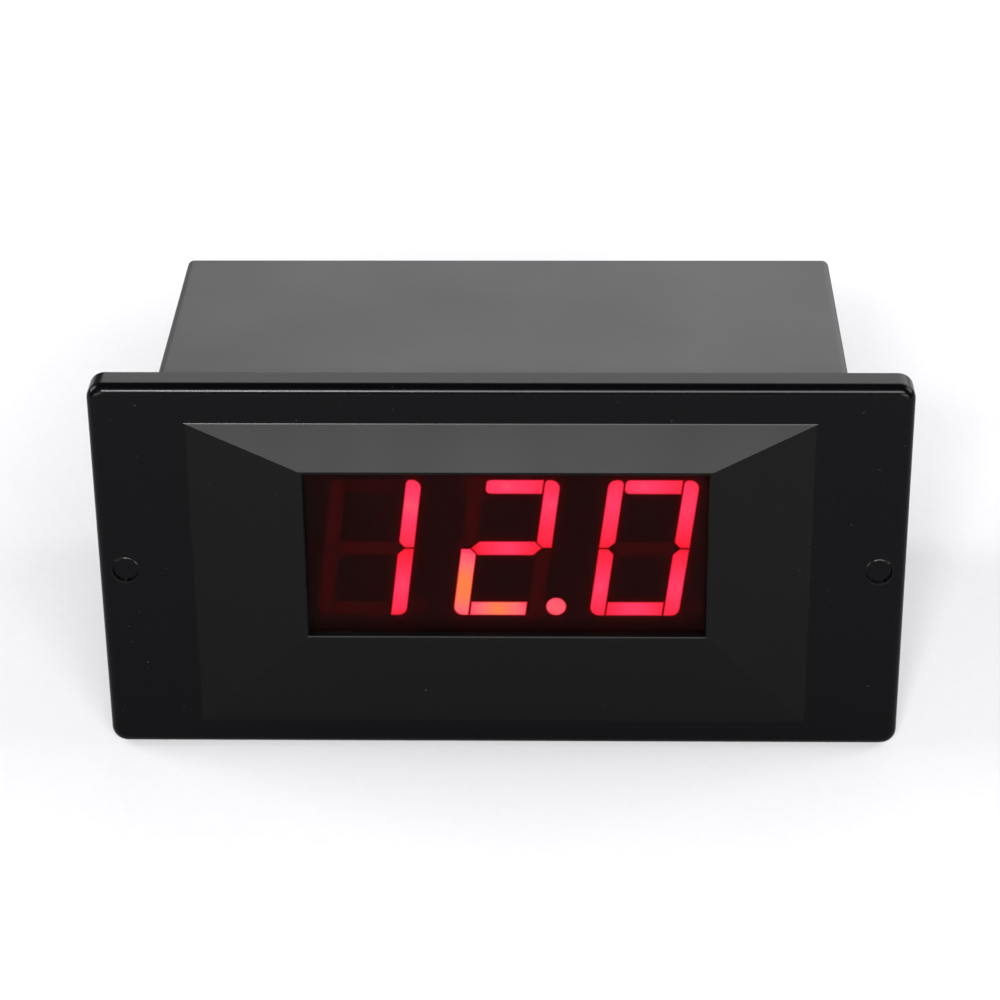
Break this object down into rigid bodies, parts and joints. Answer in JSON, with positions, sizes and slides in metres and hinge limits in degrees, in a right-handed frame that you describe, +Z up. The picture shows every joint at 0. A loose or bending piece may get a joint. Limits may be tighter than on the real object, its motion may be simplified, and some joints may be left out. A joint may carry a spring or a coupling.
{
  "type": "digital panel meter",
  "caption": "Black flush-mount panel meter with a raised window surround, three slanted red digits, sliding side clamps and screw terminals in a rear bay.",
  "frame": {"origin": "centre of the panel cut-out, in the plane of the bezel's back face", "axes": "+X right seen from the front, along the bezel's long side; +Y into the panel; +Z up"},
  "size_m": [0.075, 0.0385, 0.038],
  "materials": {
    "bezel_gloss": "moulded black ABS, glossy with a faint sheen",
    "filter_red": "smoked red acrylic sheet",
    "case_matte": "moulded black ABS, fine matte texture",
    "clamp_plastic": "moulded black nylon",
    "display_black": "black printed face of the display",
    "segment_lit": "glowing red resin",
    "segment_unlit": "dark red diffusing resin",
    "tinned_leads": "tinned copper",
    "circuit_board": "glass-epoxy board with green solder mask",
    "screw_steel": "zinc-plated steel",
    "screw_nickel": "nickel-plated steel",
    "brass_bush": "turned and tinned brass",
    "brass_screw": "turned brass",
    "black_moulding": "moulded epoxy",
    "capacitor_sleeve": "shrunk PVC sleeve",
    "film_yellow": "dipped epoxy",
    "resistor_blue": "lacquered metal film",
    "trimmer_blue": "moulded nylon"
  },
  "bodies": {
    "meter": {"bezel": "bezel_gloss", "window_filter": "filter_red", "rear_case": "case_matte", "terminal_block": "black_moulding", "display_housing": "display_black", "display_pins": "tinned_leads", "display_board": "circuit_board", "board_screws": "screw_steel", "main_board": "circuit_board", "header_strip": "black_moulding", "header_pins": "tinned_leads", "controller_chip": "black_moulding", "controller_legs": "tinned_leads", "supply_capacitor": "capacitor_sleeve", "output_capacitor": "capacitor_sleeve", "regulator": "black_moulding", "film_capacitors": "film_yellow", "resistors": "resistor_blue", "diode": "black_moulding", "component_leads": "tinned_leads", "trimmer_body": "trimmer_blue", "terminal_bushes": "brass_bush", "solder_tabs": "brass_bush", "digit_1_lit": "segment_lit", "digit_1_unlit": "segment_unlit", "digit_2_lit": "segment_lit", "digit_2_unlit": "segment_unlit", "digit_3_lit": "segment_lit", "digit_3_unlit": "segment_unlit"},
    "clamp_left": {"panel_clamp_left": "clamp_plastic"},
    "clamp_right": {"panel_clamp_right": "clamp_plastic"},
    "trimmer": {"trimmer_screw": "brass_screw"},
    "washer_1": {"terminal_washer_1": "screw_nickel"},
    "screw_1": {"terminal_screw_1": "screw_nickel"},
    "washer_2": {"terminal_washer_2": "screw_nickel"},
    "screw_2": {"terminal_screw_2": "screw_nickel"},
    "washer_3": {"terminal_washer_3": "screw_nickel"},
    "screw_3": {"terminal_screw_3": "screw_nickel"},
    "washer_4": {"terminal_washer_4": "screw_nickel"},
    "screw_4": {"terminal_screw_4": "screw_nickel"}
  },
  "joints": [
    {"name": "clamp_left_slide", "type": "slide", "parent": "meter", "child": "clamp_left", "axis": [0, 1, 0], "range_m": [-0.005, 0.014]},
    {"name": "clamp_right_slide", "type": "slide", "parent": "meter", "child": "clamp_right", "axis": [0, 1, 0], "range_m": [-0.005, 0.014]},
    {"name": "trimmer_turn", "type": "hinge", "parent": "meter", "child": "trimmer", "pos_m": [0.02, 0.0297, 0.0113], "axis": [0, 1, 0], "continuous": true},
    {"name": "washer_1_slide", "type": "slide", "parent": "meter", "child": "washer_1", "axis": [0, 1, 0], "range_m": [0, 0.0035]},
    {"name": "screw_1_turn", "type": "hinge", "parent": "washer_1", "child": "screw_1", "pos_m": [-0.015, 0.0241, -0.0086], "axis": [0, 1, 0], "range_deg": [0, 2520]},
    {"name": "washer_2_slide", "type": "slide", "parent": "meter", "child": "washer_2", "axis": [0, 1, 0], "range_m": [0, 0.0035]},
    {"name": "screw_2_turn", "type": "hinge", "parent": "washer_2", "child": "screw_2", "pos_m": [-0.005, 0.0241, -0.0086], "axis": [0, 1, 0], "range_deg": [0, 2520]},
    {"name": "washer_3_slide", "type": "slide", "parent": "meter", "child": "washer_3", "axis": [0, 1, 0], "range_m": [0, 0.0035]},
    {"name": "screw_3_turn", "type": "hinge", "parent": "washer_3", "child": "screw_3", "pos_m": [0.005, 0.0241, -0.0086], "axis": [0, 1, 0], "range_deg": [0, 2520]},
    {"name": "washer_4_slide", "type": "slide", "parent": "meter", "child": "washer_4", "axis": [0, 1, 0], "range_m": [0, 0.0035]},
    {"name": "screw_4_turn", "type": "hinge", "parent": "washer_4", "child": "screw_4", "pos_m": [0.015, 0.0241, -0.0086], "axis": [0, 1, 0], "range_deg": [0, 2520]}
  ],
  "couplings": [
    {"joint": "screw_1_turn", "follows": "washer_1_slide", "rad_per_m": 12566},
    {"joint": "screw_2_turn", "follows": "washer_2_slide", "rad_per_m": 12566},
    {"joint": "screw_3_turn", "follows": "washer_3_slide", "rad_per_m": 12566},
    {"joint": "screw_4_turn", "follows": "washer_4_slide", "rad_per_m": 12566}
  ]
}
